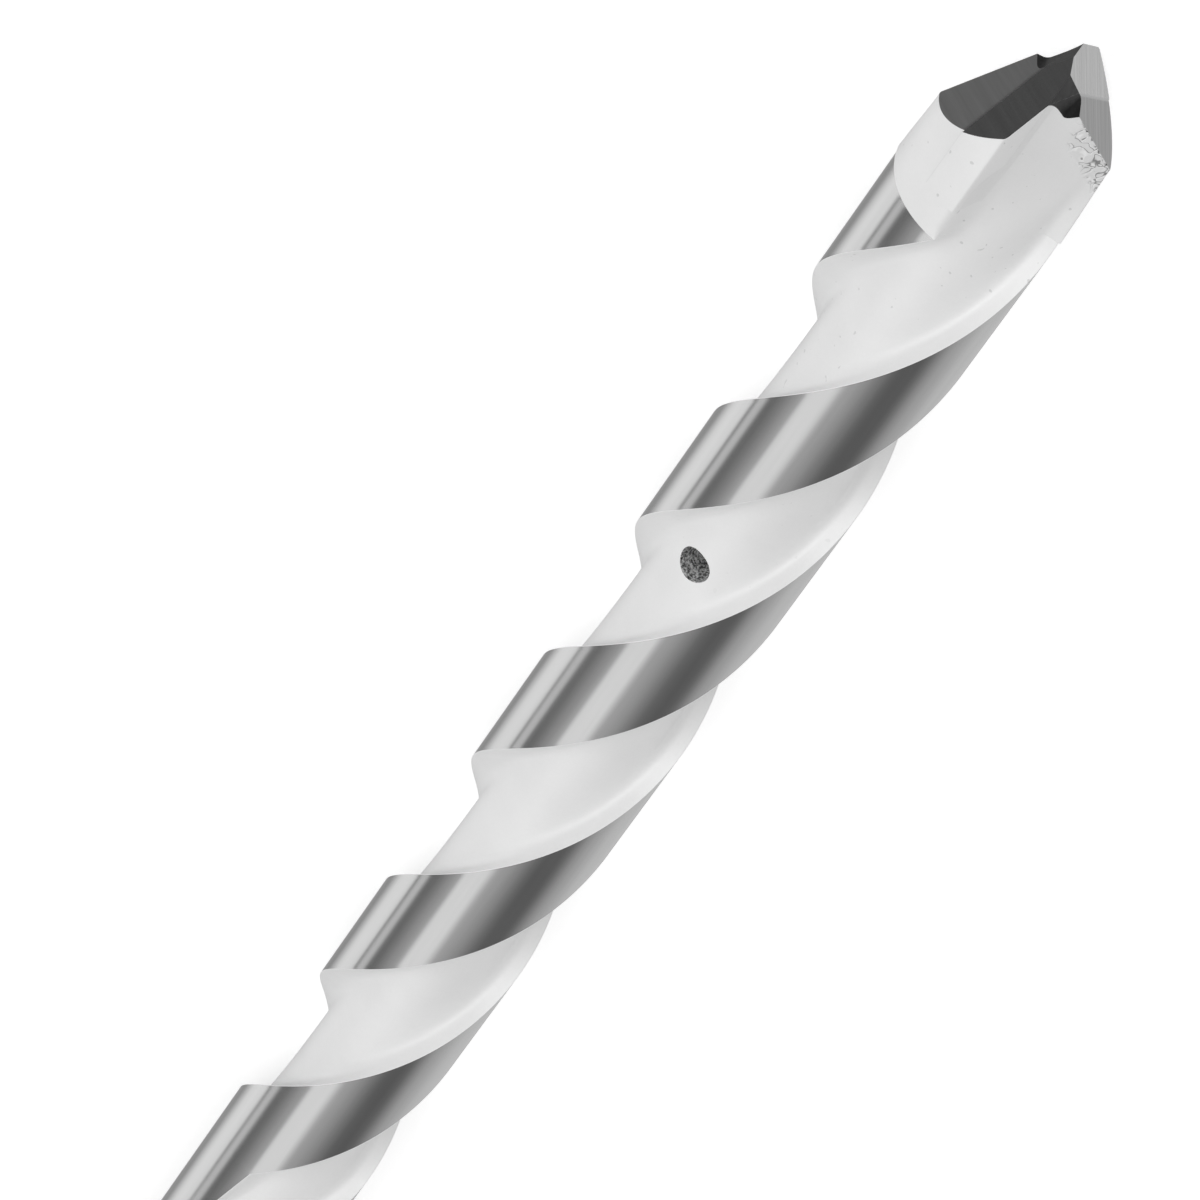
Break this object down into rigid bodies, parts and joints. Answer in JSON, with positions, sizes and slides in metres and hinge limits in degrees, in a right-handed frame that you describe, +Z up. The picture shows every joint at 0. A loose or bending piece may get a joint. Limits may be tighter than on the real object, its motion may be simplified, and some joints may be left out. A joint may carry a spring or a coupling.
{
  "type": "bellhanger drill bit",
  "caption": "Long straight-shank drill with two helical flutes, a wide ground plate across its roof-shaped point and a small hole through the fluted part for pulling a wire.",
  "frame": {"origin": "middle of the footprint, on the surface that the drill lies on", "axes": "+X along the drill's axis towards its point, +Z up from the surface, +Y to the left seen from the shank"},
  "size_m": [0.3048, 0.0092, 0.0091],
  "materials": {
    "drill_steel": "ground and polished lands and shank, fine blasted flutes and head, ground point faces",
    "ground_carbide": "dark grey sintered carbide, ground on the relief faces",
    "silver_braze": "thin silver braze seam"
  },
  "bodies": {
    "root": {"drill_body": "drill_steel", "carbide_tip": "ground_carbide", "braze_joint": "silver_braze"}
  },
  "joints": []
}
